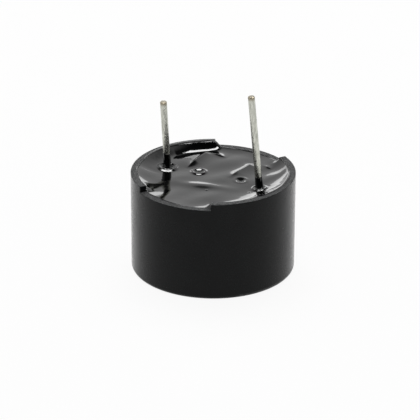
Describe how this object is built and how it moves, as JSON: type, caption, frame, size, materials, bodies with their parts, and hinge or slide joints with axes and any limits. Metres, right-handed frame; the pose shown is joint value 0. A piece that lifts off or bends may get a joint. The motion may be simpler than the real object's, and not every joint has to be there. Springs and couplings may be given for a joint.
{
  "type": "magnetic buzzer",
  "caption": "Round black through-hole magnetic buzzer with its oscillator inside, potted in resin, shown on its sound face with its unequal tinned pins up.",
  "frame": {"origin": "centre of the sound face, in its plane", "axes": "+Z out of the open side, towards the pins; +X from the axis to the long, positive pin"},
  "size_m": [0.012, 0.012, 0.0142],
  "materials": {
    "case": "black moulded plastic, satin side, rough rim",
    "potting_resin": "glossy black potting resin with a rippled surface",
    "long_pin": "tinned wire, drawn and slightly dull",
    "short_pin": "tinned wire, drawn and slightly dull",
    "support_ring": "die-cast zinc alloy, plain",
    "diaphragm": "thin iron and nickel sheet, rolled",
    "diaphragm_weight": "punched iron disc, plain",
    "ring_magnet": "sintered ferrite, dark grey",
    "pole_core": "turned soft iron, nickel plated",
    "yoke_plate": "punched iron plate, nickel plated",
    "drive_coil": "enamelled copper wire, wound close",
    "feedback_coil": "enamelled copper wire, wound close",
    "circuit_board": "bare paper laminate",
    "board_copper": "copper foil, tinned round the joints",
    "transistor_body": "black moulded package",
    "transistor_leads": "tinned alloy leads",
    "resistor_body": "ceramic body under black glaze",
    "resistor_end_caps": "tinned end caps",
    "pin_solder": "smooth solder",
    "wire_solder": "smooth solder"
  },
  "bodies": {
    "root": {"case": "case", "potting_resin": "potting_resin", "long_pin": "long_pin", "short_pin": "short_pin", "support_ring": "support_ring", "diaphragm": "diaphragm", "diaphragm_weight": "diaphragm_weight", "ring_magnet": "ring_magnet", "pole_core": "pole_core", "yoke_plate": "yoke_plate", "drive_coil": "drive_coil", "feedback_coil": "feedback_coil", "circuit_board": "circuit_board", "board_copper": "board_copper", "transistor_body": "transistor_body", "transistor_leads": "transistor_leads", "resistor_body": "resistor_body", "resistor_end_caps": "resistor_end_caps", "pin_solder": "pin_solder", "wire_solder": "wire_solder"}
  },
  "joints": []
}
